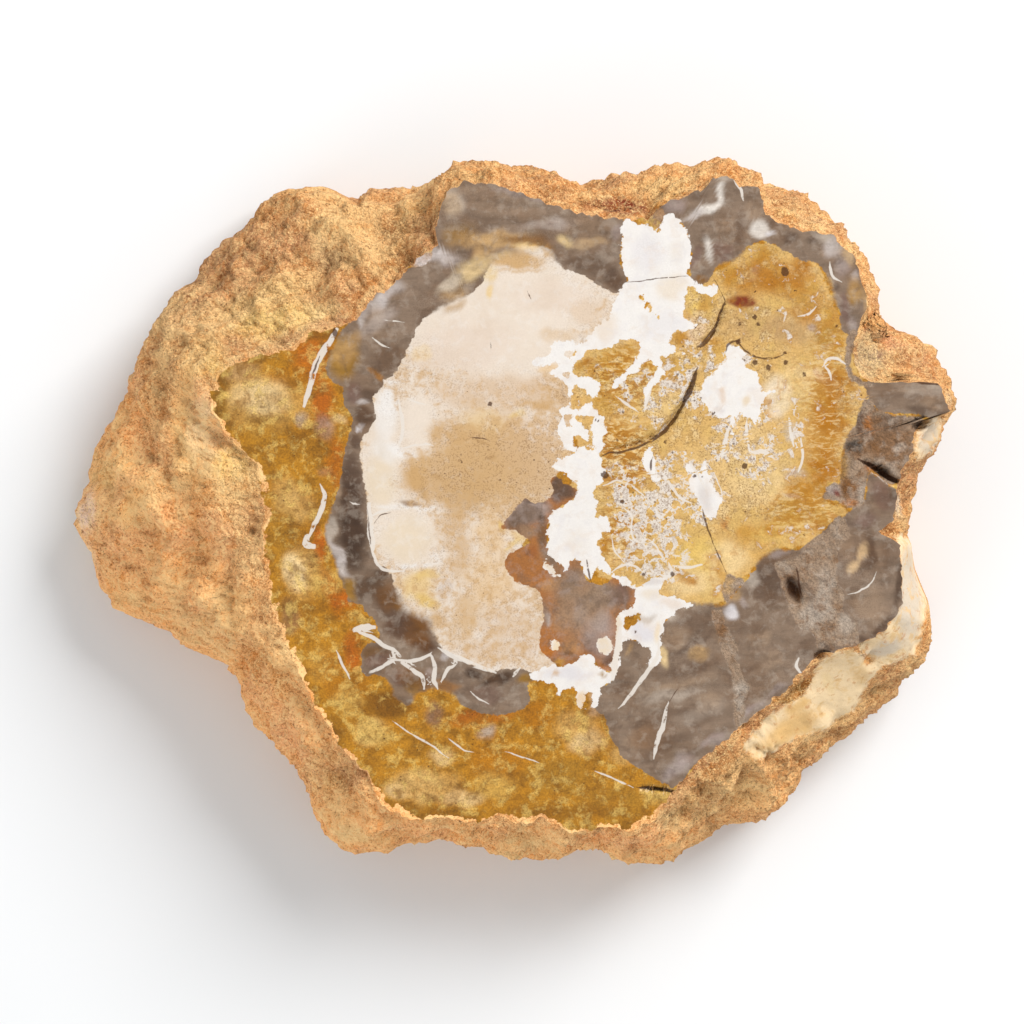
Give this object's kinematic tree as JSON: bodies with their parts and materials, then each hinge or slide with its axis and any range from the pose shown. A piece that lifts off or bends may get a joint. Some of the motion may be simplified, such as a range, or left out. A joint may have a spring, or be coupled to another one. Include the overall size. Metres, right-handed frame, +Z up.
{
  "type": "petrified wood slice",
  "caption": "Slice of petrified wood with a flat polished face on top, a flat sawn base to rest on, and rough natural rind round its irregular edge.",
  "frame": {"origin": "centre of the bounding box's base, on the plane the slice rests on", "axes": "+Z up, out of the polished face; +X along the longest width, towards the side with the small nodules; +Y across the face"},
  "size_m": [0.1811, 0.1462, 0.034],
  "materials": {
    "petrified_wood": "polished face in cream, grey, white and golden ochre, with rough sandy orange-brown rind and a dull sawn base"
  },
  "bodies": {
    "root": {"petrified_wood_slice": "petrified_wood"}
  },
  "joints": []
}
